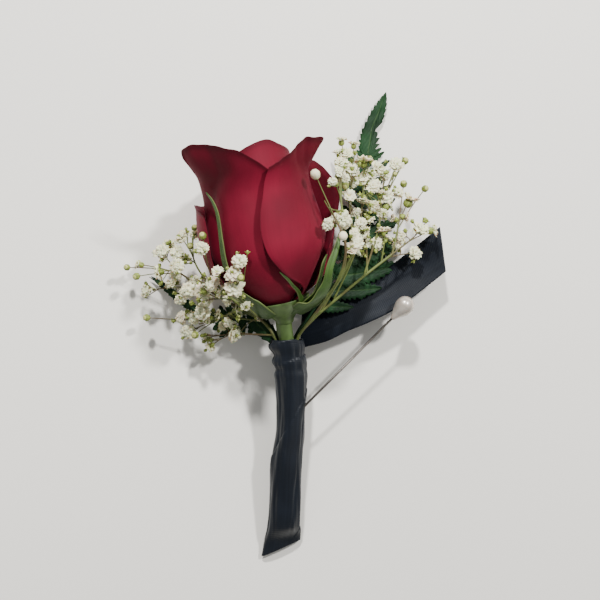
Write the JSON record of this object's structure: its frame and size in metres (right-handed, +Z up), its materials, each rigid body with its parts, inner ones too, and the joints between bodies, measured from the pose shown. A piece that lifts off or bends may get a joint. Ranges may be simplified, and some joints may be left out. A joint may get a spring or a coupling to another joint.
{
  "type": "boutonniere",
  "caption": "Boutonniere lying on its back: a red rose bud with baby's breath and fern, stems bound with tape and navy satin ribbon, held by a pearl-headed pin.",
  "frame": {"origin": "middle of the footprint, on the surface that it rests on", "axes": "+Y from the cut end of the stems towards the rose, +X to the pin's side, +Z up, away from the back"},
  "size_m": [0.1042, 0.1542, 0.0482],
  "materials": {
    "petal": "velvety rose petal, crimson",
    "calyx": "smooth green stem and sepals",
    "floret": "papery white florets on green stems",
    "fern": "leathery dark green leaf",
    "tape": "waxed crepe paper",
    "ribbon": "satin, dark navy",
    "pin": "polished",
    "pearl": "pearlescent coating"
  },
  "bodies": {
    "root": {"rose_petal_front_right": "petal", "rose_petal_front_left": "petal", "rose_petal_back": "petal", "rose_petal_guard_right": "petal", "rose_petal_guard_left": "petal", "rose_petal_inner_1": "petal", "rose_petal_inner_2": "petal", "rose_petal_inner_3": "petal", "rose_petal_inner_4": "petal", "rose_petal_inner_5": "petal", "rose_heart": "petal", "rose_calyx": "calyx", "gypsophila_left": "floret", "gypsophila_right": "floret", "fern_left": "fern", "fern_right": "fern", "floral_tape": "tape", "ribbon_wrap": "ribbon", "ribbon_tail": "ribbon", "pin_shaft": "pin", "pin_pearl": "pearl"}
  },
  "joints": []
}
